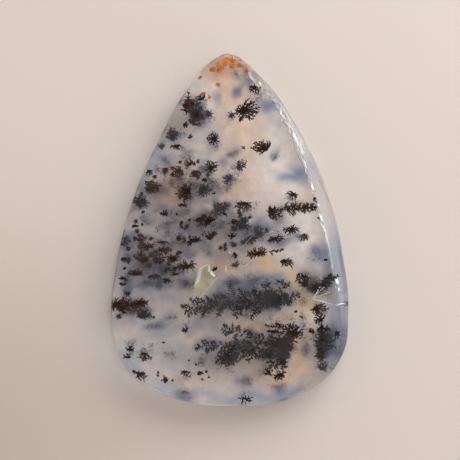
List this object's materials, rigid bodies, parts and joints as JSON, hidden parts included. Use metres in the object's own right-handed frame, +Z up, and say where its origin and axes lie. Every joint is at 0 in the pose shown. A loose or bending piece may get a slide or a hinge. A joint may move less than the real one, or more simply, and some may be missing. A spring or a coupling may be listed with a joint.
{
  "type": "dendritic agate specimen",
  "caption": "Polished teardrop cabochon of see-through dendritic agate with fern-like dark inclusions, a flat back and a bevelled low-dome face, lying on its back.",
  "frame": {"origin": "the middle of the outline's box, on the flat back", "axes": "+Z up out of the polished face, +Y towards the teardrop's tip, +X towards the widely bevelled side"},
  "size_m": [0.0304, 0.045, 0.0054],
  "materials": {
    "agate": "see-through polished chalcedony, peach to blue-grey, with black-brown manganese dendrites at several depths and an orange iron stain at the tip"
  },
  "bodies": {
    "root": {"agate_cabochon": "agate"}
  },
  "joints": []
}
